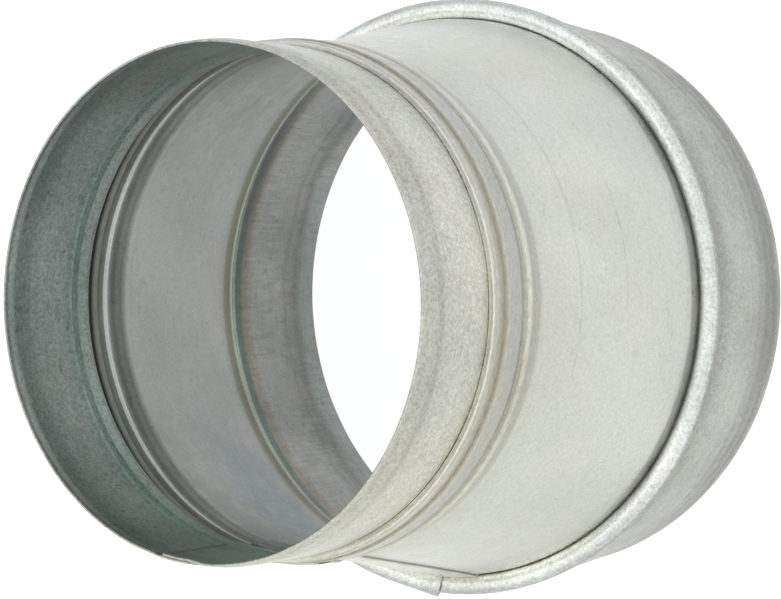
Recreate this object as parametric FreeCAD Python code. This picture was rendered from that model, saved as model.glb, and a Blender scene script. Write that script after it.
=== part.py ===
import FreeCAD, Part
import os
from math import cos, sin, tan, radians, hypot

os.makedirs("parts", exist_ok=True)
V = FreeCAD.Vector

# Sheet steel duct reducer, 100 mm to 125 mm duct. Millimetres.
# It stands on its large end: the axis is +Z, the large rim lies on Z = 0 and the
# small mouth is at Z = L. Stations z below are measured down from the small mouth,
# and angles are degrees about +Z from +X.

# ---------------------------------------------------------------- driving sizes
L = 124.0            # whole length
t = 0.5              # sheet thickness

r_small = 49.7       # small collar, outside (100 mm duct)
r_small_rim = 49.2   # its rim, set in a little
z_small_rim = 3.0    # where the rim's set-in ends

r_cover1 = 50.94     # lock seam, low level, outside
r_cover2 = 51.43     # lock seam, high level, outside
z_stop = 21.75       # end of the collar's plain wall
r_seat = 49.42       # collar inside the lock seam, outside
z_nose = 22.0        # folded front edge of the lock seam
a_fold = 0.3         # bend radius of that fold, mid sheet
z_step = 26.0        # step between its two levels
z_hem = 26.1         # turned edge of the small collar, inside the seam
z_grip = 22.95       # from here the seam's layers lie tight on each other
z_hem_tip = 23.2     # where the hem ends, in the fold
z_tuck = 25.0        # end of the cone's sheet, between collar and hem
z_cover_end = 30.8   # end of the high level
z_groove, r_groove = 32.3, 51.02    # groove behind it, outside
z_bead, r_bead = 34.1, 51.75        # pressed bead at the neck, outside
z_cone, r_cone = 39.1, 50.97        # start of the cone, outside
z_land, r_land = 84.7, 60.0         # end of the cone, start of the land
r_land_end = 60.2                   # land where the flange turns out
z_flange = 89.55                    # flange of the cone (mid sheet)
r_flange = 62.7                     # its edge

z_roll, r_roll = 88.2, 62.4         # centre of the rolled bead
a_roll = 2.2                        # outside radius of the rolled bead
r_large_in = 62.0                   # large collar just behind the roll, outside
z_flare0, z_flare1 = 92.2, 97.0     # where it opens to its full radius
r_large = 62.6                      # large collar, outside (125 mm duct)
z_large_taper = 109.5               # where it starts to draw in
r_large_rim = 61.85                 # large rim, outside

# laps of the three sheets
lap_small = (-101.3, -94.0, -90.0)          # inner edge, outer edge, joggle end
lap_cone = (-104.0, -93.0, -91.0, -82.0)    # inner edge, joggle, joggle end, outer edge
lap_large = (-100.5, -92.0, -88.0)          # inner edge, outer edge, joggle end
lap_roll = (-101.0, -92.0, 0.55, 0.4)       # start, cut end, rise and lift of the outer layer
weld_small = ((-99.4, 9.8), (-99.4, 16.4))  # spot welds of the small collar


# ---------------------------------------------------------------- sheet sections
def line(p, q):
    return ("L", p, q)


def arc(c, r, a0, a1):
    return ("A", c, r, a0, a1)


def sheet(path, off, thick=t):
    """Closed (z, r) outline of a sheet that follows path, moved outward by off.
    path runs as lines and arcs in the (z, r) plane along the middle of the sheet.
    Gives the lists of edges as ('L', p, q) or ('A', p, mid, q)."""
    def side(d):
        segs = []
        for s in path:
            if s[0] == "L":
                (z0, r0), (z1, r1) = s[1], s[2]
                h = hypot(z1 - z0, r1 - r0)
                nz, nr = -(r1 - r0) / h * d, (z1 - z0) / h * d
                segs.append(["L", (z0 + nz, r0 + nr), (z1 + nz, r1 + nr)])
            else:
                (cz, cr), rad, a0, a1 = s[1:]
                # the left-hand side of the travel is the outside of the path
                rr = rad - d if a1 > a0 else rad + d
                pt = [(cz + rr * cos(radians(a)), cr + rr * sin(radians(a)))
                      for a in (a0, (a0 + a1) / 2.0, a1)]
                segs.append(["A"] + pt)
        for s, n in zip(segs[:-1], segs[1:]):
            p, q = s[-1], n[1]
            if hypot(p[0] - q[0], p[1] - q[1]) > 1e-6 and s[0] == n[0] == "L":
                # mitre of two straight pieces
                d1 = (s[2][0] - s[1][0], s[2][1] - s[1][1])
                d2 = (n[2][0] - n[1][0], n[2][1] - n[1][1])
                k = d1[0] * d2[1] - d1[1] * d2[0]
                u = ((n[1][0] - s[1][0]) * d2[1] - (n[1][1] - s[1][1]) * d2[0]) / k
                m = (s[1][0] + u * d1[0], s[1][1] + u * d1[1])
                s[2] = m
                n[1] = m
            elif hypot(p[0] - q[0], p[1] - q[1]) > 1e-9:
                m = ((p[0] + q[0]) / 2.0, (p[1] + q[1]) / 2.0)
                s[-1] = m
                n[1] = m
        return segs
    a = side(off + thick / 2.0)
    b = side(off - thick / 2.0)
    out = a + [["L", a[-1][-1], b[-1][-1]]]
    for s in reversed(b):
        out.append([s[0]] + list(reversed(s[1:])))
    out.append(["L", b[0][1], a[0][1]])
    return out


def wire(outline, phi=0.0):
    """The outline as a wire in the plane through the axis at the angle phi."""
    c, s = cos(radians(phi)), sin(radians(phi))

    def P(p):
        return V(p[1] * c, p[1] * s, L - p[0])
    edges = []
    for e in outline:
        if e[0] == "L":
            edges.append(Part.makeLine(P(e[1]), P(e[2])))
        else:
            edges.append(Part.Arc(P(e[1]), P(e[2]), P(e[3])).toShape())
    return Part.Wire(edges)


def turn(outline, phi=0.0, sweep=360.0):
    """The outline turned about the axis from the angle phi."""
    f = Part.Face(wire(outline, phi))
    s = f.revolve(V(0, 0, 0), V(0, 0, 1), sweep)
    s = s if s.ShapeType == "Solid" else s.Solids[0]
    if s.Volume < 0:
        s.reverse()
    return s


def ramp(o0, phi0, o1, phi1):
    """A straight blend between the same sheet at two angles."""
    s = Part.makeLoft([wire(o0, phi0), wire(o1, phi1)], True, True)
    if s.Volume < 0:
        s.reverse()
    return s


def sector(z0, z1, r0, r1, phi0, phi1):
    o = [["L", (z0, r0), (z1, r0)], ["L", (z1, r0), (z1, r1)],
         ["L", (z1, r1), (z0, r1)], ["L", (z0, r1), (z0, r0)]]
    return turn(o, phi0, phi1 - phi0)


def clean(s):
    s = s.removeSplitter()
    if s.ShapeType != "Solid":
        s = s.Solids[0]
    return s


def polyline(pts):
    return [line(a, b) for a, b in zip(pts[:-1], pts[1:])]


# ---------------------------------------------------------------- small collar
# wall, then the hem turned outward and back inside the lock seam
m_small = r_small - t / 2.0
m_seat = r_seat - t / 2.0
m_hem = r_cover1 - 1.5 * t           # the hem lies against the cover's inside
c_hem = (m_seat + m_hem) / 2.0
a_hem = (m_hem - m_seat) / 2.0
zc_hem = z_hem - a_hem - t / 2.0
rim = [(0, r_small_rim - t / 2.0), (0.8, r_small_rim - t / 2.0), (z_small_rim, m_small), (z_stop, m_small),
       (z_stop + 0.55, m_seat - 0.01), (z_grip, m_seat)]
wall = polyline(rim + [(zc_hem, m_seat)])
small_path = wall + [arc((zc_hem, c_hem), a_hem, -90, 90), line((zc_hem, m_hem), (z_hem_tip, m_hem))]
small = turn(sheet(small_path, 0.0))

s_in, s_out, s_end = lap_small
lap_path = polyline(rim + [(z_hem - 1.2, m_seat)])
inner = turn(sheet(lap_path, -t), s_in, s_out - s_in)
joggle = ramp(sheet(lap_path, -t), s_out, sheet(lap_path, 0.0), s_end)
small = small.cut(sector(-1, z_stop, 40, 55, s_out, s_end))
small = small.fuse([inner, joggle])
for phi, z in weld_small:
    # shallow spot weld dent on the inside of the lap
    r = r_small - 2 * t
    ball = Part.makeSphere(8.0)
    d = r - 8.0 + 0.15
    ball.translate(V(d * cos(radians(phi)), d * sin(radians(phi)), L - z))
    small = small.cut(ball)
small = clean(small)

# ---------------------------------------------------------------- cone
# tuck between collar and hem, pressed fold, cover over the hem, neck, cone, land, flange
m_tuck = r_seat + t / 2.0
m_c1 = r_cover1 - t / 2.0
m_c2 = r_cover2 - t / 2.0
zc_nose = z_nose + a_fold + t / 2.0
h = t / 2.0


def smooth(pts, n=5):
    """Points along a curve that eases through pts, flat at each of them."""
    out = [pts[0]]
    for (z0, r0), (z1, r1) in zip(pts[:-1], pts[1:]):
        for k in range(1, n + 1):
            u = k / float(n)
            out.append((z0 + (z1 - z0) * u, r0 + (r1 - r0) * (3 * u * u - 2 * u ** 3)))
    return out


neck = smooth([(z_cover_end, m_c2), (z_groove, r_groove - h), (z_bead, r_bead - h)], 5)
neck += [(35.2, 51.63 - h), (36.6, 51.35 - h), (38.0, 51.1 - h), (z_cone, r_cone - h)]
zc_fl = z_flange - 0.6
outer_path = polyline([(zc_nose, m_c1), (z_step - 0.3, m_c1), (z_step + 0.3, m_c2), (z_cover_end, m_c2)]
                      + neck[1:] + [(z_land, r_land - h)])
m_toe = m_tuck + 0.005
cone_path = ([line((z_tuck, m_tuck), (z_grip, m_tuck)), line((z_grip, m_tuck), (zc_nose, m_toe)),
              arc((zc_nose, m_toe + a_fold), a_fold, 270, 180),
              line((z_nose + h, m_toe + a_fold), (z_nose + h, m_c1 - a_fold)),
              arc((zc_nose, m_c1 - a_fold), a_fold, 180, 90)]
             + outer_path
             + [line((z_land, r_land - h), (zc_fl - 0.35, r_land_end - h)),
                line((zc_fl - 0.35, r_land_end - h), (zc_fl, r_land_end - h)),
                arc((zc_fl, r_land_end - h + 0.6), 0.6, -90, 0),
                line((z_flange, r_land_end - h + 0.6), (z_flange, r_flange))])
cone = turn(sheet(cone_path, 0.0))

c_in, c_jog, c_jog2, c_out = lap_cone


def layer(pts, side, d):
    """Second layer of the lapped sheet: from the middle of the first layer to its
    outside (side 1) or inside (side -1) surface moved by d along the radius."""
    n = []
    for k, (z, r) in enumerate(pts):
        z0, r0 = pts[max(k - 1, 0)]
        z1, r1 = pts[min(k + 1, len(pts) - 1)]
        g = hypot(z1 - z0, r1 - r0)
        n.append((z - side * h * (r1 - r0) / g, r + side * (h * (z1 - z0) / g + d)))
    ring = pts + list(reversed(n))
    return [["L", p, q] for p, q in zip(ring, ring[1:] + ring[:1])]


# inner layer, from the groove of the neck to the flange's bend
under = [p for p in neck if p[0] > z_groove - 0.4] + [(z_land, r_land - h), (zc_fl - 0.4, r_land_end - h)]
# outer layer, from the seam's nose to just short of the roll
over = [(zc_nose, m_c1), (z_step - 0.3, m_c1), (z_step + 0.3, m_c2)] + neck
over += [(z_land, r_land - h), (86.5, r_land - h + 0.1)]
adds = [turn(layer(under, -1, t), c_in, c_jog2 - c_in),
        ramp(layer(under, -1, t), c_jog2, layer(under, -1, -0.05), c_jog2 + 2.0),
        turn(layer(over, 1, t), c_jog2, c_out - c_jog2),
        ramp(layer(over, 1, -0.05), c_jog, layer(over, 1, t), c_jog2)]
for s in adds:
    assert s.isValid() and s.Volume > 0
    cone = cone.fuse(s)
    assert cone.isValid()
cone = clean(cone)

# ---------------------------------------------------------------- large collar
# rim, wall, and the edge rolled over the cone's flange
a_mid = a_roll - h
z_back = z_roll + a_mid
m_in = r_large_in - h
m_large = r_large - h
bend = r_roll - m_in
large_wall = polyline([(L, r_large_rim - h), (L - 3.0, r_large_rim - h), (z_large_taper, m_large),
                       (z_flare1, m_large), (z_flare0, m_in), (z_back + bend, m_in)])
large_path = large_wall + [arc((z_back + bend, r_roll), bend, 270, 180),
                           arc((z_roll, r_roll), a_mid, 0, 270),
                           line((z_roll, r_roll - a_mid), (z_roll + 0.5, r_roll - a_mid))]
large = turn(sheet(large_path, 0.0))

l_in, l_out, l_end = lap_large
# the path runs toward the small end here, so its outside is on the right of the travel
inner = turn(sheet(large_wall, t), l_in, l_out - l_in)
joggle = ramp(sheet(large_wall, t), l_out, sheet(large_wall, 0.0), l_end)
large = large.cut(sector(z_back + bend + 0.6, L + 1, 50, 70, l_out, l_end))
large = large.fuse([inner, joggle])

# outer layer of the roll, rising to its cut end
q0, q1, rise, lift = lap_roll


def hoop(d, up):
    n = 12
    a0, a1 = 15.0, 222.0
    outer, core = [], []
    for k in range(n + 1):
        a = radians(a0 + (a1 - a0) * k / n)
        outer.append((z_roll + (a_roll + d) * cos(a), r_roll + up + (a_roll + d) * sin(a)))
        core.append((z_roll + (a_roll - h) * cos(a), r_roll + (a_roll - h) * sin(a)))
    ring = outer + list(reversed(core))
    return [["L", p, q] for p, q in zip(ring, ring[1:] + ring[:1])]


large = large.fuse(ramp(hoop(0.05, 0.0), q0, hoop(rise, lift), q1))
large = clean(large)

for name, s in (("small_collar", small), ("cone", cone), ("large_collar", large)):
    assert s.isValid(), name
    s.exportStep("parts/%s.step" % name)
    b = s.BoundBox
    print("%s: volume %.0f mm3, faces %d, x %.2f..%.2f y %.2f..%.2f z %.2f..%.2f" % (
        name, s.Volume, len(s.Faces), b.XMin, b.XMax, b.YMin, b.YMax, b.ZMin, b.ZMax))
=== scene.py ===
import bpy
import math
import numpy as np
from mathutils import Matrix, Vector


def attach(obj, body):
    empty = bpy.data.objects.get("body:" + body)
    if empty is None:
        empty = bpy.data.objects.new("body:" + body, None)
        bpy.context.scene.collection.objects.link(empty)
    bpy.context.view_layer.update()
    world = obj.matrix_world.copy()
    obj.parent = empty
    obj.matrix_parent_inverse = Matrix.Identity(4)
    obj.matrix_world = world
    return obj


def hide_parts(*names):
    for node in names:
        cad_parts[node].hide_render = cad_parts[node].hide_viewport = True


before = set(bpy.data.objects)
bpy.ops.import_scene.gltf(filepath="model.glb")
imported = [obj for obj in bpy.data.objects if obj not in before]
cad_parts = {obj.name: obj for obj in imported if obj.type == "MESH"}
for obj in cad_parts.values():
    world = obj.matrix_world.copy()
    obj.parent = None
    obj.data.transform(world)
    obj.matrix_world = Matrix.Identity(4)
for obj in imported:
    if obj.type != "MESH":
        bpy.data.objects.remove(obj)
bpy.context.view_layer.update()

MM = 0.001
L = 124.0      # whole length, small mouth at the top
T = 0.5        # sheet thickness
GAP = 0.04     # air between two layers of a lap


# ------------------------------------------------------------------ helpers
def waves(seed, n, lo, hi):
    """A smooth wandering field: n plane waves with wavelengths from lo to hi mm. About -1 to 1."""
    g = np.random.default_rng(seed)
    d = g.normal(size=(n, 3))
    d /= np.linalg.norm(d, axis=1)[:, None]
    k = 2 * np.pi / np.exp(g.uniform(math.log(lo), math.log(hi), n))
    a = g.uniform(0.5, 1.0, n)
    a /= math.sqrt((a ** 2).sum() / 2) * 1.6
    p = g.uniform(0, 2 * np.pi, n)

    def f(x, y, z):
        out = np.zeros(np.broadcast(x, y, z).shape)
        for i in range(n):
            out += a[i] * np.sin(k[i] * (d[i, 0] * x + d[i, 1] * y + d[i, 2] * z) + p[i])
        return out
    return f


def smoothstep(a, b, x):
    u = np.clip((np.asarray(x, float) - a) / (b - a), 0, 1)
    return u * u * (3 - 2 * u)


def bump(x, c, w):
    return np.exp(-((np.asarray(x, float) - c) / w) ** 2)


def rounded(pts, step=1.0):
    """Dense points along a path in the (z, r) plane. Each point is (z, r) or (z, r, fillet radius)."""
    out = []
    n = len(pts)
    prev = np.array(pts[0][:2], float)
    out.append(prev)

    def run(p, q):
        d = np.linalg.norm(q - p)
        k = max(1, int(math.ceil(d / step)))
        for i in range(1, k + 1):
            out.append(p + (q - p) * i / k)
    for i in range(1, n - 1):
        v = np.array(pts[i][:2], float)
        rad = pts[i][2] if len(pts[i]) > 2 else 0.0
        a = np.array(pts[i - 1][:2], float) - v
        b = np.array(pts[i + 1][:2], float) - v
        la, lb = np.linalg.norm(a), np.linalg.norm(b)
        a, b = a / la, b / lb
        ang = math.acos(max(-1, min(1, float(a @ b))))
        if rad <= 0 or ang > math.pi - 1e-3:
            run(out[-1], v)
            continue
        cut = rad / math.tan(ang / 2)
        cut = min(cut, 0.49 * la, 0.49 * lb)
        rad = cut * math.tan(ang / 2)
        p, q = v + a * cut, v + b * cut
        run(out[-1], p)
        c = v + (a + b) / np.linalg.norm(a + b) * (rad / math.sin(ang / 2))
        a0, a1 = math.atan2(*(p - c)[::-1]), math.atan2(*(q - c)[::-1])
        da = (a1 - a0 + math.pi) % (2 * math.pi) - math.pi
        k = max(2, int(math.ceil(abs(da) / math.radians(12))))
        for j in range(1, k + 1):
            t = a0 + da * j / k
            out.append(c + rad * np.array([math.cos(t), math.sin(t)]))
    run(out[-1], np.array(pts[-1][:2], float))
    return np.array(out)


def arc_pts(c, rad, a0, a1, n):
    t = np.radians(np.linspace(a0, a1, n))
    return np.stack([c[0] + rad * np.cos(t), c[1] + rad * np.sin(t)], 1)


def dedupe(p, eps=1e-4):
    keep = [0]
    for i in range(1, len(p)):
        if np.linalg.norm(p[i] - p[keep[-1]]) > eps:
            keep.append(i)
    return p[keep]


def normals2(p):
    d = np.gradient(p, axis=0)
    d /= np.linalg.norm(d, axis=1)[:, None]
    return np.stack([-d[:, 1], d[:, 0]], 1)


def loop_of(p, thick=T, edge=0.09):
    """Outline of a sheet around the path p: left side, rounded end, right side, rounded end."""
    n = normals2(p)
    d = np.stack([n[:, 1], -n[:, 0]], 1)
    h = thick / 2
    left, right = p + n * h, p - n * h
    e0, e1 = p[0], p[-1]
    left = left.copy()
    right = right.copy()
    left[0] += d[0] * edge
    right[0] += d[0] * edge
    left[-1] -= d[-1] * edge
    right[-1] -= d[-1] * edge
    end1 = [e1 + n[-1] * (h - edge), e1 - n[-1] * (h - edge)]
    end0 = [e0 - n[0] * (h - edge), e0 + n[0] * (h - edge)]
    ring = np.concatenate([left, end1, right[::-1], end0])
    m = len(p)
    # index of the path point that each outline point belongs to
    who = np.concatenate([np.arange(m), [m - 1, m - 1], np.arange(m)[::-1], [0, 0]])
    side = np.concatenate([np.ones(m), [0.6, -0.6], -np.ones(m), [-0.6, 0.6]])
    return ring, who, side


def angles(u0, u1, fine, step=0.75):
    """Angles from u0 to u1 in degrees, denser in the given (lo, hi, step) stretches."""
    out = [u0]
    while out[-1] < u1 - 1e-6:
        s = step
        for lo, hi, st in fine:
            if lo - step <= out[-1] <= hi:
                s = min(s, st)
        out.append(min(u1, out[-1] + s))
    if out[-1] - out[-2] < 0.05:
        out.pop(-2)
    return np.array(out)


def make_object(name, node, rings, us, uv_len, material, tone):
    R = np.array(rings)
    m, n = R.shape[0], R.shape[1]
    phi = np.radians(np.asarray(us))[:, None] + np.zeros((m, n))
    if R.shape[2] > 2:
        phi = phi + R[:, :, 2]
    z, r = R[:, :, 0], R[:, :, 1]
    co = np.stack([r * np.cos(phi), r * np.sin(phi), L - z], -1).reshape(-1, 3) * MM
    quads = []
    jj = np.arange(n)
    jn = (jj + 1) % n
    for i in range(m - 1):
        quads.append(np.stack([i * n + jj, (i + 1) * n + jj, (i + 1) * n + jn, i * n + jn], 1))
    quads = np.concatenate(quads)
    # the two cut ends of the strip: the outline is a thin band, so join its two sides
    caps = []
    M = (n - 4) // 2
    pairs = [(k, 2 * M + 1 - k) for k in range(M)]     # left k with right k
    for base, flip in ((0, 0), ((m - 1) * n, 1)):
        faces = []
        for (a, b), (c, d) in zip(pairs[:-1], pairs[1:]):
            faces.append([a, c, d, b])
        faces.append([M - 1, M, M + 1, M + 2])
        faces.append([2 * M + 1, 2 * M + 2, 2 * M + 3, 0])
        for f in faces:
            f = [base + x for x in f]
            caps.append(f[::-1] if flip else f)
    faces = np.concatenate([quads, np.array(caps)])
    me = bpy.data.meshes.new(name)
    me.vertices.add(len(co))
    me.vertices.foreach_set("co", co.astype(np.float32).ravel())
    me.loops.add(faces.size)
    me.loops.foreach_set("vertex_index", faces.ravel().astype(np.int32))
    me.polygons.add(len(faces))
    me.polygons.foreach_set("loop_start", (np.arange(len(faces)) * 4).astype(np.int32))
    me.polygons.foreach_set("loop_total", np.full(len(faces), 4, np.int32))
    # sheet coordinates: u around the duct, v along the section, in metres
    uv = me.uv_layers.new(name="sheet")
    u = np.radians(np.asarray(us))[:, None] * 55.0 * MM + np.zeros((m, n))
    v = np.tile(uv_len[None, :], (m, 1)) * MM
    flat = np.stack([u.ravel(), v.ravel()], 1)
    lv = faces.ravel()
    uvs = flat[lv].copy()
    # the last outline edge wraps round
    nq = len(quads)
    wrap = np.tile(jj == n - 1, m - 1)
    w = uvs[:nq * 4].reshape(nq, 4, 2)
    w[wrap, 2, 1] = (uv_len[-1] + 0.4) * MM
    w[wrap, 3, 1] = (uv_len[-1] + 0.4) * MM
    uv.data.foreach_set("uv", uvs.astype(np.float32).ravel())
    # tone in red, green and blue: the zinc's colour with painted light and shade worked in, and 1 or 0 for the duct's
    # inside
    at = me.attributes.new("tone", "FLOAT_COLOR", "POINT")
    at.data.foreach_set("color", np.asarray(tone, np.float32).reshape(-1))
    me.update(calc_edges=True)
    me.validate()
    # the quads run clockwise seen from outside the metal, so turn them to face outward
    me.flip_normals()
    me.polygons.foreach_set("use_smooth", np.ones(len(me.polygons), bool))
    me.set_sharp_from_angle(angle=math.radians(38))
    ob = bpy.data.objects.new(name, me)
    bpy.context.scene.collection.objects.link(ob)
    me.materials.append(material)
    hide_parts(node)
    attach(ob, "root")
    return ob


def section_len(ring):
    d = np.linalg.norm(np.diff(ring, axis=0), axis=1)
    return np.concatenate([[0], np.cumsum(d)])


# ------------------------------------------------------------------ materials
def new_mat(name):
    m = bpy.data.materials.new(name)
    m.use_nodes = True
    nt = m.node_tree
    for n in list(nt.nodes):
        nt.nodes.remove(n)
    out = nt.nodes.new("ShaderNodeOutputMaterial")
    b = nt.nodes.new("ShaderNodeBsdfPrincipled")
    nt.links.new(b.outputs[0], out.inputs[0])
    return m, nt, b


class G:
    """Short hand for building node graphs."""

    def __init__(self, nt):
        self.nt = nt

    def n(self, kind, **kw):
        x = self.nt.nodes.new(kind)
        for k, v in kw.items():
            setattr(x, k, v)
        return x

    def put(self, sock, v):
        if isinstance(v, bpy.types.NodeSocket):
            self.nt.links.new(v, sock)
        else:
            sock.default_value = v

    def math(self, op, a, b=0.0, c=0.0, clamp=False):
        x = self.n("ShaderNodeMath", operation=op, use_clamp=clamp)
        self.put(x.inputs[0], a)
        self.put(x.inputs[1], b)
        self.put(x.inputs[2], c)
        return x.outputs[0]

    def noise(self, vec, scale, detail=3.0, rough=0.55, dist=0.0):
        x = self.n("ShaderNodeTexNoise")
        self.put(x.inputs["Vector"], vec)
        x.inputs["Scale"].default_value = scale
        x.inputs["Detail"].default_value = detail
        x.inputs["Roughness"].default_value = rough
        x.inputs["Distortion"].default_value = dist
        return x.outputs[0]

    def voronoi(self, vec, scale, feature="F1", out="Distance", rnd=1.0):
        x = self.n("ShaderNodeTexVoronoi", feature=feature)
        self.put(x.inputs["Vector"], vec)
        x.inputs["Scale"].default_value = scale
        x.inputs["Randomness"].default_value = rnd
        return x.outputs[out]

    def ramp(self, f, lo, hi, a=0.0, b=1.0, smooth=True):
        x = self.n("ShaderNodeMapRange", interpolation_type="SMOOTHSTEP" if smooth else "LINEAR")
        self.put(x.inputs["Value"], f)
        self.put(x.inputs["From Min"], lo)
        self.put(x.inputs["From Max"], hi)
        self.put(x.inputs["To Min"], a)
        self.put(x.inputs["To Max"], b)
        return x.outputs["Result"]

    def mix(self, f, a, b, mode="MIX"):
        x = self.n("ShaderNodeMix", data_type="RGBA", blend_type=mode)
        self.put(x.inputs[0], f)
        self.put(x.inputs[6], a)
        self.put(x.inputs[7], b)
        return x.outputs[2]

    def scaled(self, vec, s):
        x = self.n("ShaderNodeVectorMath", operation="MULTIPLY")
        self.put(x.inputs[0], vec)
        x.inputs[1].default_value = s
        return x.outputs[0]


def zinc(name, rough=0.34, mottle=0.07, grain=0.10, spangle=0.05, rolled=0.10, comb=0.0, speck=0.0, blots=0.30,
         grain_in=1.0, dashes=None, dash_side=1.0):
    """Galvanised sheet: the tone attribute, zinc colour with painted light and shade in it, broken up by mottle,
    spangle, grain and rolling marks.
    """
    m, nt, b = new_mat(name)
    g = G(nt)
    at = g.n("ShaderNodeAttribute", attribute_name="tone")
    tone, inside = at.outputs["Color"], at.outputs["Alpha"]
    tc = g.n("ShaderNodeTexCoord")
    ob = tc.outputs["Object"]
    uv = tc.outputs["UV"]
    big = g.noise(ob, 26.0, 3.0, 0.55)
    mid = g.noise(ob, 170.0, 4.0, 0.6)
    spot = g.noise(ob, 620.0, 3.0, 0.65)
    fine = g.noise(ob, 1500.0, 3.0, 0.75)
    # rolling marks run round the duct, so the noise is stretched along u
    roll = g.noise(g.scaled(uv, (16.0, 1500.0, 1.0)), 1.0, 3.0, 0.6)
    roll2 = g.noise(g.scaled(uv, (45.0, 5200.0, 1.0)), 1.0, 2.0, 0.6)
    cell = g.voronoi(ob, 520.0, "F1", "Color")
    cs = g.n("ShaderNodeSeparateColor")
    nt.links.new(cell, cs.inputs[0])
    v = g.math("MULTIPLY_ADD", g.math("SUBTRACT", big, 0.5), 2.2 * mottle, 1.0)
    v = g.math("MULTIPLY_ADD", g.math("SUBTRACT", mid, 0.5), 2.0 * mottle, v)
    v = g.math("MULTIPLY_ADD", g.math("SUBTRACT", cs.outputs[0], 0.5), spangle, v)
    v = g.math("MULTIPLY_ADD", g.math("SUBTRACT", roll, 0.5), rolled * 2.0, v)
    gr = g.math("MULTIPLY_ADD", inside, grain * 2.6 * (grain_in - 1.0), grain * 2.6)
    v = g.math("MULTIPLY_ADD", g.math("SUBTRACT", fine, 0.5), gr, v)
    if dashes:
        # short marks along the turning direction, between two heights of the duct
        z0, z1, amount = dashes
        sep = g.n("ShaderNodeSeparateXYZ")
        nt.links.new(ob, sep.inputs[0])
        high = g.ramp(sep.outputs["Z"], z0, z1)
        face = inside if dash_side > 0 else g.math("SUBTRACT", 1.0, inside)
        dn = g.noise(g.scaled(uv, (420.0, 2600.0, 1.0)), 1.0, 3.0, 0.7)
        v = g.math("MULTIPLY_ADD", g.math("MULTIPLY", g.math("SUBTRACT", dn, 0.5), g.math("MULTIPLY", high, face)), amount, v)
    # small darker blots, stronger inside
    blot = g.ramp(spot, 0.56, 0.72)
    amt = g.math("MULTIPLY_ADD", inside, blots - 0.08, 0.08)
    v = g.math("SUBTRACT", v, g.math("MULTIPLY", blot, amt))
    if comb:
        # short marks across the sheet, left by the forming rolls
        cm = g.noise(g.scaled(uv, (1500.0, 130.0, 1.0)), 1.0, 2.0, 0.5)
        where = g.math("MULTIPLY", inside, g.ramp(g.noise(uv, 60.0, 2.0), 0.36, 0.54))
        v = g.math("MULTIPLY_ADD", g.math("MULTIPLY", g.math("SUBTRACT", cm, 0.5), where), comb * 2.0, v)
    if speck:
        d = g.voronoi(ob, 75.0, "F1", "Distance")
        rnd = g.n("ShaderNodeSeparateColor")
        nt.links.new(g.voronoi(ob, 75.0, "F1", "Color"), rnd.inputs[0])
        dot = g.math("MULTIPLY", g.ramp(d, 0.035, 0.015), g.ramp(rnd.outputs[0], 0.55, 0.60))
        place = g.n("ShaderNodeSeparateXYZ")
        nt.links.new(ob, place.inputs[0])
        dot = g.math("MULTIPLY", dot, g.ramp(place.outputs["Z"], 0.0412, 0.0435))
        v = g.math("SUBTRACT", v, g.math("MULTIPLY", dot, speck))
    col = g.n("ShaderNodeVectorMath", operation="SCALE")
    nt.links.new(tone, col.inputs[0])
    nt.links.new(v, col.inputs[3])
    # a slight drift between warmer and cooler zinc
    warm = g.math("MULTIPLY_ADD", g.math("SUBTRACT", g.noise(ob, 48.0, 2.0, 0.5), 0.5), 0.16, 0.5)
    c = g.mix(1.0, col.outputs[0], g.mix(g.ramp(warm, 0.42, 0.58), (0.975, 1.0, 1.015, 1), (1.02, 0.995, 0.96, 1)), "MULTIPLY")
    nt.links.new(c, b.inputs["Base Color"])
    b.inputs["Metallic"].default_value = 0.9
    r = g.math("MULTIPLY_ADD", g.math("SUBTRACT", mid, 0.5), 0.16, rough)
    r = g.math("MULTIPLY_ADD", g.math("SUBTRACT", cs.outputs[1], 0.5), 0.08, r)
    nt.links.new(r, b.inputs["Roughness"])
    hgt = g.math("MULTIPLY_ADD", fine, 0.5, g.math("MULTIPLY", roll2, 0.5))
    hgt = g.math("MULTIPLY_ADD", cs.outputs[2], 0.25, hgt)
    bp = g.n("ShaderNodeBump")
    bp.inputs["Strength"].default_value = 0.4
    bp.inputs["Distance"].default_value = 0.00006
    nt.links.new(hgt, bp.inputs["Height"])
    nt.links.new(bp.outputs[0], b.inputs["Normal"])
    return m


MAT = {
    "small_collar": zinc("galvanised_small", rough=0.36, mottle=0.075, grain=0.54, spangle=0.08, rolled=0.12, grain_in=1.15,
                         dashes=(0.1140, 0.1185, 0.9)),
    "cone": zinc("galvanised_cone", rough=0.32, mottle=0.04, grain=0.20, spangle=0.02, rolled=0.05, speck=0.30,
                 blots=0.10, dashes=(0.0835, 0.0880, 0.9), dash_side=-1.0),
    "large_collar": zinc("galvanised_large", rough=0.33, mottle=0.16, grain=0.50, spangle=0.10, rolled=0.08,
                         comb=0.30, blots=0.14, grain_in=0.45),
}

# ------------------------------------------------------------------ shapes
wob = waves(11, 14, 45, 140)
dent = waves(23, 22, 9, 30)
ripple = waves(37, 26, 3.5, 8)
patch = waves(51, 18, 14, 40)


def sway(z, phi, amp, amp2=0.02, amp3=0.006):
    """How far the sheet stands off its true radius, in mm."""
    x, y = 52 * np.cos(phi), 52 * np.sin(phi)
    return amp * wob(x, y, z) + amp2 * dent(x, y, z) + amp3 * ripple(x, y, z)


def curve(x, pts):
    """A curve through the listed (x, value) points."""
    return np.interp(x, [q[0] for q in pts], [q[1] for q in pts])


def tint(x, pts):
    """The same for colours: (x, (r, g, b)) points."""
    return np.stack([np.interp(x, [q[0] for q in pts], [q[1][k] for q in pts]) for k in range(3)], -1)


BASE = 0.50
OUT_TINT = (0.985, 1.0, 0.965)


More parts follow.
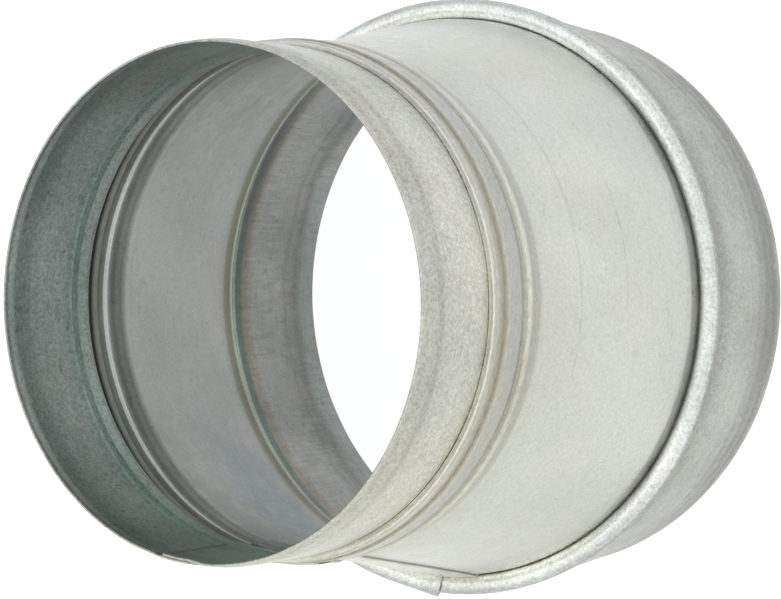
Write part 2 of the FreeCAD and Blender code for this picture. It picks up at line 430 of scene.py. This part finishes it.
def paint(z, u, out_val, in_val, out_tint, in_tint, inside):
    """Tone attribute of one section ring at the angle u, in degrees. The inside takes its own, darker values: painted
    shade of the duct's interior.
    """
    val = np.where(inside > 0.5, in_val, out_val)
    col = np.where(inside[:, None] > 0.5, in_tint, out_tint) * val[:, None] * BASE
    return np.concatenate([col, inside[:, None]], 1)


def around(u, plus, minus):
    """Painted shade round the outside: the tone darkened by plus on one side and minus on the other."""
    du = (u + 180.0) % 360.0 - 180.0
    return 1 - plus * float(smoothstep(20, 65, du)) - minus * float(smoothstep(30, 70, -du))


def within(u, amt):
    """Painted shade round the inside, darker away from the middle of its far wall."""
    du = (u + 180.0) % 360.0 - 180.0
    return 1 - amt * float(smoothstep(5, 65, 180 - abs(du)))


def thinner(ring, mid, amount):
    """The section ring drawn in toward its middle line by the given share, so that a layer stays inside another."""
    out = ring.copy()
    out[:, :2] = mid + (ring[:, :2] - mid) * (1 - np.asarray(amount)[:, None])
    return out


def low_side(u):
    """1 on the side near the lap, 0 on the far side."""
    return 0.5 + 0.5 * math.cos(math.radians(u + 75.0))


# small collar -----------------------------------------------------------------
m1, seat, hem = 49.45, 49.17, 50.19
c_h = (seat + hem) / 2
a_h = (hem - seat) / 2
zc_h = 26.1 - a_h - T / 2
p = rounded([(0, 48.95), (0.9, 48.95, 1.2), (3.0, m1, 3.0), (20.7, m1, 1.5), (22.2, seat, 1.5), (zc_h, seat)], 0.5)
n_bend = 13
p = np.concatenate([p, arc_pts((zc_h, c_h), a_h, -90, 90, n_bend)[1:], np.array([[24.9, hem], [24.0, hem], [23.2, hem]])])
p = dedupe(p)
ring0, who, side = loop_of(p)
us = angles(-101.3, 266.0, [(-101.3, -86, 0.35), (248, 266, 0.35)], 0.9)
pz = p[:, 0]
n_plain = len(p) - (n_bend - 1) - 3
plain = np.arange(len(p)) < n_plain
# tone by height along the small collar, with painted light and shade: OUT_S is lightened at the crease under the seam's
# nose (20.9 to 22.6) to cover its shade; IN_S, the inside, is painted darker than the outside and darkest in the shadow
# behind the hem (25 to 26.1)
OUT_S = [(0, .84), (1.2, .80), (1.6, .72), (2.0, .80), (4.6, .77), (5.1, .60), (5.6, .80), (6.1, .62), (6.7, .84), (12, .92), (18, .93), (20.2, .92), (20.9, 1.05), (21.5, 1.45), (21.9, 2.0), (22.6, 2.0)]
IN_S = [(0, .55), (1.0, .47), (1.8, .50), (2.6, .44), (7, .50), (8.5, .60), (15, .63), (18.0, .60), (19.5, .53), (20.3, .66), (21.0, .96), (21.8, .96), (22.4, .72), (22.9, .68), (24.4, .70), (25.0, .50), (25.6, .40), (26.1, .25)]
rings, tones = [], []
for u in us:
    ph = math.radians(u)
    off = -(T + GAP) * (1 - smoothstep(-94.5, -88.5, u))
    r_off = off * plain * (1 - smoothstep(23.9, 25.2, pz))
    free = 1 - smoothstep(18.0, 25.0, pz)
    r_off = r_off + sway(pz, ph, 0.05, 0.02, 0.004) * free
    # a slight kink of the rim beside the lap, and two spot welds pressed in from inside
    r_off = r_off - 0.12 * bump(u, 254.0, 2.2) * (1 - smoothstep(0, 7, pz)) * plain
    weld = 0 * pz
    for wu, wz in ((260.6, 9.8), (260.6, 16.4)):
        for turn in (0, 360):
            d = np.hypot((u - wu + turn) * 0.863, pz - wz)
            weld = weld + np.exp(-(d / 1.5) ** 2)
    r_off = r_off + 0.10 * weld * plain
    hidden = 0.16 * float(smoothstep(257.6, 258.5, u)) * smoothstep(22.6, 23.6, pz[who])
    ring = thinner(ring0, p[who], hidden)
    ring[:, 1] += r_off[who]
    rings.append(ring)
    z = pz[who]
    ins = (side < 0).astype(float)
    x, y = 50 * math.cos(ph), 50 * math.sin(ph)
    pat = patch(x, y, z)
    # outside: painted side shade round the duct times the zone curve, darker at the welds
    ov = around(u, 0.20, 0.02) * curve(z, OUT_S) * (1 + 0.05 * pat) * (1 - 0.10 * weld[who])
    iv = curve(z, IN_S) * (1 + 0.10 * pat) * (1 - 0.25 * weld[who])
    lo = low_side(u)
    ot = np.array((1.0, 1.0, 0.95)) * (np.array((0.985, 0.97, 0.90)) * lo ** 2 + 1 - lo ** 2)
    it = tint(z, [(0, (0.93, 1.0, 0.96)), (3, (0.83, 1.0, 0.96)), (8, (0.83, 1.0, 0.965)), (13, (0.90, 1.0, 0.985)), (18, (0.86, 1.0, 0.98)), (19.5, (0.77, 1.0, 0.955)), (22, (0.79, 1.0, 0.96)), (26, (0.90, 1.0, 0.955))])
    deep = bump(low_side(u), 1.0, 0.22)
    it = it * (1 - deep * np.array((0.24, 0.10, 0.20)))
    # the free edge of the inner layer: painted shade along it, and painted highlights on it at the two spot welds
    plainz = 1 - smoothstep(20.5, 22.5, z)
    iv = iv * (1 - 0.75 * bump(u, 257.3, 0.9) * plainz) * (1 - 0.10 * bump(u, -100.0, 1.6) * plainz)
    for wz in (9.8, 16.4):
        iv = iv * (1 + 1.1 * bump(u, 258.6, 0.9) * bump(z, wz, 0.8))
    tones.append(paint(z, u, ov, iv, np.tile(ot, (len(z), 1)), it, ins))
make_object("small_collar_sheet", "small_collar", rings, us, section_len(ring0), MAT["small_collar"], tones)

# cone ---------------------------------------------------------------------------
m_t, m_c1, m_c2 = 49.68, 50.69, 51.18
tuck = np.array([[25.6, m_t], [24.6, m_t], [23.6, m_t], [22.33, m_t]])
nose = np.concatenate([arc_pts((22.33, m_t + 0.08), 0.08, 270, 180, 7), arc_pts((22.55, m_c1 - 0.3), 0.3, 180, 90, 7)])
seam = rounded([(22.55, m_c1), (25.65, m_c1, 0.45), (26.2, m_c2, 0.45), (30.8, m_c2, 1.0), (32.4, 50.80, 0.6),
                (34.1, 51.48, 0.9), (36.4, 51.08, 3.0), (39.1, 50.72, 4.0), (42.0, 51.292)], 0.5)
ARCS = ((50.6, -18.0, 62.0, 0.9), (64.4, -8.0, 30.0, 1.4))      # height, from and to angle, drift
marks = [h + d for h, _, _, _ in ARCS for d in (-0.6, -0.4, -0.2, 0.0, 0.2, 0.4, 0.6)]
body = np.array([(h, 51.292 + (h - 42.0) * 0.197468) for h in sorted(list(np.arange(42.0, 81.6, 3.3)) + marks)])
body = np.concatenate([body, [[81.5, 59.092]]])
land = rounded([(81.5, 59.092), (84.7, 59.72, 1.6), (88.95, 59.95)], 0.5)
fl = arc_pts((88.95, 60.55), 0.6, -90, 0, 6)
p = dedupe(np.concatenate([tuck, nose[1:], seam[1:], body[1:], land[1:], fl[1:], np.array([[89.55, 61.2], [89.55, 61.9], [89.55, 62.65]])]))
ring0, who, side = loop_of(p)
us = angles(-104.0, 278.0, [(-104, -88, 0.35), (262, 278, 0.35)], 1.3)
pz = p[:, 0]
i_body = np.arange(len(p)) >= 17      # from the nose on
is_fl = np.arange(len(p)) >= len(p) - 8
# tone by height along the cone, with painted light and shade: OUT_C lightens the nose (21.9), puts a painted highlight
# on the bead riser (33.35 to 34.4) and lightens the cone toward the land and the land under the roll (81.5 to 88.5) to
# cover the roll's shadow; IN_C, the inside, is painted darker, near black in the shadow behind the hem (25 to 29.1),
# with a painted highlight on the inner crest (33 to 34.3) and painted shade in the recess at the large end (85.4 to 88)
OUT_C = [(21.9, 1.4), (22.15, 1.1), (22.35, .84), (22.6, .74), (22.9, .84), (23.4, .76), (24.0, .64), (25.0, .57), (25.6, .50), (25.95, .47), (26.15, .70), (26.35, .82), (26.6, .72), (28.5, .70), (30.8, .71), (31.6, .70), (33.15, .68), (33.35, .94), (33.9, 1.04), (34.4, .92), (35.2, .82), (38.2, .83), (39.4, 0.97), (46, 1.01), (78, 1.04), (81.5, 1.10), (82.8, 1.17), (84.0, 1.20), (84.5, 1.22), (84.75, 1.40), (85.4, 1.72), (86.3, 1.9), (87.2, 2.0), (88.5, 2.0)]
IN_C = [(25.0, .03), (29.1, .03), (29.35, .38), (30.6, .44), (31.2, .85), (32.0, 1.0), (32.5, 1.1), (33.0, 1.35), (34.3, 1.35), (35.0, .75), (35.6, .50), (39.0, .47), (39.8, .64), (60, .64), (82, .65), (85.4, .60), (86.1, .38), (88.0, .30), (88.5, .6), (89.6, .9)]
OT_C = [(22.4, OUT_TINT), (23.4, (1.0, .965, .87)), (25.7, (1.01, .95, .82)), (26.3, (1.02, .985, .88)), (27.2, (.995, .99, .97)), (31.0, (.985, .99, .97)), (33.0, (1.0, .99, .90)), (34.5, (1.0, .985, .93)), (37.5, (1.0, .99, .94)), (40.0, OUT_TINT), (83.5, (0.985, 1.0, .97)), (85.5, (0.97, 1.0, .985))]
IT_C = [(28, (.92, 1.0, .86)), (31, (.93, 1.0, .90)), (33.5, (.96, 1.0, .97)), (36, (.93, 1.0, .975)), (41, (.965, 1.0, .965)), (84.5, (.965, 1.0, .965)), (86.0, (1.0, 1.0, .80)), (88, (1.02, 1.0, .74)), (89, (.93, 1.0, .86))]
rings, tones = [], []
for u in us:
    ph = math.radians(u)
    inner = -(T + GAP) * (1 - smoothstep(-91.0, -88.5, u)) * smoothstep(31.0, 32.0, pz) * (1 - smoothstep(87.6, 88.4, pz))
    start = 268.4 - 2.2 * smoothstep(24.0, 27.0, pz)
    outer = (T - 0.03) * smoothstep(start, start + 2.2, np.full(len(p), u)) * (0.08 + 0.92 * smoothstep(26.2, 28.4, pz)) * (1 - smoothstep(84.8, 86.6, pz))
    r_off = (inner + outer) * i_body
    free = smoothstep(31.0, 45.0, pz) * (1 - smoothstep(76.0, 86.0, pz))
    seamz = smoothstep(25.8, 28.0, pz) * (1 - smoothstep(76.0, 86.0, pz))
    r_off = r_off + sway(pz, ph, 0.10, 0.02, 0.0) * free + 0.02 * dent(51 * math.cos(ph), 51 * math.sin(ph), pz) * seamz
    # short puddled welds along the outer free edge
    weld = 0 * pz
    if u > 270:
        for wz, wl in ((30.0, 2.0), (37.5, 5.0), (47.0, 2.0), (59.0, 4.5), (72.5, 5.0), (80.0, 2.0)):
            q = np.maximum(np.abs(pz - wz) - wl / 2, 0)
            weld = weld + np.exp(-(q / 0.8) ** 2 - ((u - 277.2) / 0.7) ** 2)
    zw = pz[who]
    hidden = 0.16 * (1 - float(smoothstep(-81.8, -80.3, u))) * ((1 - smoothstep(30.5, 31.5, zw)) + smoothstep(87.6, 88.4, zw))
    ring = thinner(ring0, p[who], hidden)
    ring[:, 1] += r_off[who]
    rings.append(ring)
    z = pz[who]
    ins = ((side < 0) | (who < 4)).astype(float)
    ins = np.where(is_fl[who], 1.0, ins)
    x, y = 55 * math.cos(ph), 55 * math.sin(ph)
    pat = patch(x, y, z)
    # painted light on level 1 on some sides, and painted shade on the bead riser on others
    lev1 = bump(z, 24.4, 1.7) * (0.45 * smoothstep(25, 55, -((u + 180.0) % 360.0 - 180.0)) + 0.15 * smoothstep(15, 35, (u + 180.0) % 360.0 - 180.0))
    lev1 = lev1 - bump(z, 33.2, 1.2) * (0.20 * bump((u + 180.0) % 360.0 - 180.0, -22.0, 13.0) + 0.22 * bump((u + 180.0) % 360.0 - 180.0, -90.0, 9.0))
    edge = smoothstep(84.5, 86.0, z)
    # outside: painted side shade (not near the land), lev1, the zone curve, darker welds, and painted light on the
    # outer lap's cut edge and on the sheet beside it, where its crevice is in shade
    ov = (edge + (1 - edge) * around(u, 0.13, 0.10)) * (1 + lev1) * curve(z, OUT_C) * (1 + 0.03 * pat) * (1 - 0.38 * weld[who]) * (1 + 0.35 * smoothstep(277.4, 278.0, u) * smoothstep(33, 36, z)) * (1 + 0.15 * bump(u, -81.7, 0.5) * smoothstep(33, 36, z))
    for h, ua, ub, drift in ARCS:
        du = (u + 180.0) % 360.0 - 180.0
        gate = float(smoothstep(ua, ua + 8, du) * (1 - smoothstep(ub - 12, ub, du)))
        gate *= 0.35 + 0.65 * float(smoothstep(-0.35, 0.25, math.sin(0.83 * du) + 0.8 * math.sin(2.9 * du + h)))
        ov = ov * (1 - 0.28 * gate * bump(z, h + 0.3 * drift * math.sin(math.radians(2 * du)), 0.13))
    # inside: painted shade away from the far wall's middle and around u 262 on the cone's body, and painted light on
    # the neck band behind the crest, stronger toward the sides
    neck = bump(z, 36.9, 1.9)
    end = 1 - 0.30 * bump(u, 262.0, 15.0) * smoothstep(39.0, 42.0, z)
    iv = end * within(u, 0.30) * (1 + neck * (0.25 + 0.9 * (1 - within(u, 1.0)))) * curve(z, IN_C) * (1 + 0.06 * pat)
    lo = low_side(u)
    seamy = (1 - smoothstep(38, 50, z))[:, None]
    ot = tint(z, OT_C) * ((np.array((1.0, 0.995, 0.965)) - seamy * np.array((0.015, 0.02, 0.07))) * lo ** 2 + 1 - lo ** 2)
    lap = smoothstep(269.0, 270.5, u) * (1 - smoothstep(277.0, 278.0, u)) * smoothstep(35, 38, z)
    ot = ot * (1 - lap[:, None] * np.array((0.0, 0.025, 0.12)))
    it = tint(z, IT_C)
    du = (u + 180.0) % 360.0 - 180.0
    blue = bump(du, -118.0, 26.0) * smoothstep(50, 62, z) * (1 - smoothstep(80, 85, z))
    it = it * (1 - blue[:, None] * np.array((0.26, 0.14, 0.0)))
    tones.append(paint(z, u, ov, iv, ot, it, ins))
make_object("cone_sheet", "cone", rings, us, section_len(ring0), MAT["cone"], tones)

# large collar ---------------------------------------------------------------------
zR, rR, aM = 88.2, 62.4, 1.92
zb = zR + aM
wall = rounded([(L, 61.6), (120.5, 61.6, 12.0), (109.5, 62.35, 14.0), (97.0, 62.35, 5.0), (92.2, 61.75, 3.0), (zb + 0.65, 61.75)], 0.7)
bend = arc_pts((zb + 0.65, 62.4), 0.65, 270, 180, 8)
roll = arc_pts((zR, rR), aM, 0, 270, 37)
p = dedupe(np.concatenate([wall, bend[1:], roll[1:], np.array([[zR + 0.3, rR - aM], [zR + 0.5, rR - aM]])]))
ring0, who, side = loop_of(p)
n_wall = len(wall)
in_roll = np.zeros(len(p))
in_roll[n_wall + 6:] = 1.0
us = angles(-100.5, 268.0, [(-100.5, -86, 0.35), (255, 268, 0.35)], 0.9)
pz = p[:, 0]
ang_p = np.degrees(np.arctan2(p[:, 1] - rR, pz - zR)) % 360
# tone by height along the large collar, with painted light and shade: OUT_L darkens the wall toward the rim (painted
# shade near the floor); IN_L, the inside, is painted darker, with a painted bright line at the bend (91.9 to 92.6) and
# painted shade in the recess behind the roll (92.95 to 95); ROLL and ROLL_SIDE, by angle round the roll's section, give
# its front a painted highlight and its back painted shade, ROLL_SIDE taking over away from u 0
OUT_L = [(90.8, .48), (92.5, .52), (94, .56), (97, .66), (100, .70), (107, .67), (110, .60), (114, .46), (119, .36), (121.5, .42), (123.2, .60), (124, .70)]
IN_L = [(90.5, .5), (91.3, .30), (91.9, .62), (92.6, .62), (92.95, .24), (95.0, .22), (96.0, .34), (98.4, .42), (100.0, .50), (103, .49), (110, .49), (111.8, .47), (113.0, .38), (114.0, .44), (115.2, .42), (116.5, .35), (118.0, .42), (119.0, .50), (123, .52), (124, .50)]
ROLL = [(0, .50), (40, .42), (70, .38), (90, .50), (102, .72), (110, .72), (117, .98), (124, 1.26), (130, 1.15), (136, 1.02), (146, 1.05), (152, .98), (158, .99), (163, .94), (168, 1.05), (173, 1.27), (179, 1.53), (185, 1.55), (191, 1.45), (198, 1.0), (206, .72), (215, .54), (235, .60), (262, .9)]
ROLL_SIDE = [(0, .50), (60, .42), (80, .42), (92, .44), (100, .60), (112, .74), (134, .82), (160, 1.0), (184, 1.15), (200, 1.45), (235, 1.5), (262, 1.4)]
IT_L = [(91.5, (.90, 1.0, .82)), (92.8, (.86, 1.0, .84)), (93.3, (.74, 1.0, .86)), (95.0, (.80, 1.0, .86)), (96.4, (1.06, 1.0, .78)), (98.5, (1.06, 1.0, .88)), (100.5, (.99, 1.0, .96)), (112, (.98, 1.0, .96)), (117, (1.0, 1.0, .97)), (119.5, (.92, 1.0, .975)), (124, (.93, 1.0, .975))]
rings, tones = [], []
for u in us:
    ph = math.radians(u)
    inner = -(T + GAP) * (1 - smoothstep(-92.0, -87.5, u)) * (1 - in_roll) * smoothstep(90.9, 92.5, pz)
    k = float(np.clip((u - 259.0) / 9.0, 0, 1)) ** 1.2
    free = smoothstep(92.0, 99.0, pz)
    ring = thinner(ring0, p[who], 0.16 * (1 - float(smoothstep(-91.6, -90.0, u))) * (1 - smoothstep(90.9, 91.6, pz[who])))
    # the last part of the wall bulges softly in and out, as hand-fed rolling leaves it
    soft = 0.035 * np.sin(pz * 1.45 + 1.2 * wob(62 * math.cos(ph), 62 * math.sin(ph), 0)) * smoothstep(108, 112, pz) * (1 - smoothstep(119, 122, pz))
    r_off = inner + sway(pz, ph, 0.06, 0.03, 0.006) * free + soft
    r_off = r_off + 0.012 * ripple(62 * math.cos(ph), 62 * math.sin(ph), pz) * in_roll * (bump(ang_p, 150, 70))
    ring[:, 1] += r_off[who]
    # the outer layer of the roll opens toward its cut end
    w = in_roll[who] * k
    ang = ang_p[who]
    grow = (T * 1.02) * w * (1 - smoothstep(222, 262, ang))
    dz, dr = np.cos(np.radians(ang)), np.sin(np.radians(ang))
    ring[:, 0] += dz * grow
    ring[:, 1] += dr * grow + 0.36 * w * (1 - smoothstep(222, 262, ang))
    cut = in_roll[who] * float(smoothstep(262.5, 268.0, u)) * curve(ang, [(50, -1.5), (100, -1.1), (140, 0.1), (180, 0.8), (225, 0.9), (262, 0.9), (270, 0.9)])
    ring = np.concatenate([ring, np.radians(cut)[:, None]], 1)
    rings.append(ring)
    z = pz[who]
    ins = (side > 0).astype(float)
    x, y = 62 * math.cos(ph), 62 * math.sin(ph)
    pat = patch(x, y, z)
    du = abs((u + 180.0) % 360.0 - 180.0)
    turned = float(smoothstep(32, 66, du))
    on_roll = curve(ang, ROLL) * (1 - turned) + curve(ang, ROLL_SIDE) * turned
    # outside: the roll's painted highlight and shade, and on the wall painted side shade times the zone curve
    ov = np.where(in_roll[who] > 0, on_roll, around(u, 0.33, 0.16) * curve(z, OUT_L)) * (1 + 0.08 * pat)
    iv = np.where(in_roll[who] > 0, 0.4, curve(z + 0.5 * pat * smoothstep(110, 113, z), IN_L)) * (1 + 0.08 * pat)
    # painted shade on the inside next to the joint, around u 143
    iv = iv * (1 - 0.58 * bump(u, 143.0, 28.0) * (1 - smoothstep(96.0, 99.0, z)))
    lo = low_side(u)
    white = np.where(in_roll[who] > 0, bump(ang, 150, 55), 0.0)[:, None]
    ot = (1 - white * np.array((0.055, 0.0, -0.03))) * np.tile(np.array((0.985, 1.0, 0.975)) * (np.array((1.0, 0.99, 0.965)) * lo ** 2 + 1 - lo ** 2), (len(z), 1))
    tones.append(paint(z, u, ov, iv, ot, tint(z, IT_L), ins))
make_object("large_collar_sheet", "large_collar", rings, us, section_len(ring0), MAT["large_collar"], tones)

# ------------------------------------------------------------------ stage and light
bpy.ops.mesh.primitive_plane_add(size=6.0, location=(0, 0, -0.00002))
floor = bpy.context.object
floor.name = "floor"
fm, nt, b = new_mat("floor_white")
b.inputs["Base Color"].default_value = (0.24, 0.24, 0.235, 1)
b.inputs["Roughness"].default_value = 0.9
b.inputs["Specular IOR Level"].default_value = 0.1
b.inputs["Emission Color"].default_value = (0.975, 1.0, 0.985, 1)
b.inputs["Emission Strength"].default_value = 0.95
floor.data.materials.append(fm)

# a white tent: brightest overhead, a little brighter on the front side, paler toward the horizon
w = bpy.data.worlds.new("studio")
bpy.context.scene.world = w
w.use_nodes = True
wn = w.node_tree
bg = wn.nodes["Background"]
g = G(wn)
tc = g.n("ShaderNodeTexCoord")
sp = g.n("ShaderNodeSeparateXYZ")
wn.links.new(tc.outputs["Generated"], sp.inputs[0])
st = g.math("MULTIPLY_ADD", g.math("MAXIMUM", sp.outputs["Z"], 0.0), 0.85, 1.05)
st = g.math("MULTIPLY_ADD", sp.outputs["Y"], -0.10, st)
st = g.math("MULTIPLY_ADD", sp.outputs["X"], 0.05, st)
wn.links.new(st, bg.inputs[1])
bg.inputs[0].default_value = (1.0, 0.99, 0.955, 1)

# ------------------------------------------------------------------ camera
cam = bpy.data.cameras.new("camera")
cam.sensor_width = 36.0
cam.lens = 36.0 * 2418.56 / 781.0
cam.clip_start = 0.01
cam.clip_end = 20.0
co = bpy.data.objects.new("camera", cam)
bpy.context.scene.collection.objects.link(co)
th, ph = 0.5792397805205027, -0.026226714954961997
S = 0.994
a = np.array([math.sin(th) * math.cos(ph), math.sin(th) * math.sin(ph), math.cos(th)])
P0 = np.array([-35.715703771707055, 0.7372588916828124, 454.2934680687199])
up = np.array([0, -1.0, 0])
up = up - (up @ a) * a
up /= np.linalg.norm(up)
rt = np.cross(a, up)
X = Vector((rt[0], up[0], -a[0]))
Y = -Vector((rt[1], up[1], -a[1]))
Z = -Vector((rt[2], up[2], -a[2]))
pos = Vector((-(P0 @ rt) * S, -(P0 @ up) * S, (P0 @ a) * S + L)) * MM
M = Matrix(((X[0], Y[0], Z[0], pos[0]), (X[1], Y[1], Z[1], pos[1]), (X[2], Y[2], Z[2], pos[2]), (0, 0, 0, 1)))
co.matrix_world = M
bpy.context.scene.camera = co

sc = bpy.context.scene
sc.view_settings.view_transform = "Standard"
sc.view_settings.look = "None"
sc.view_settings.exposure = 0.0
sc.view_settings.gamma = 1.0
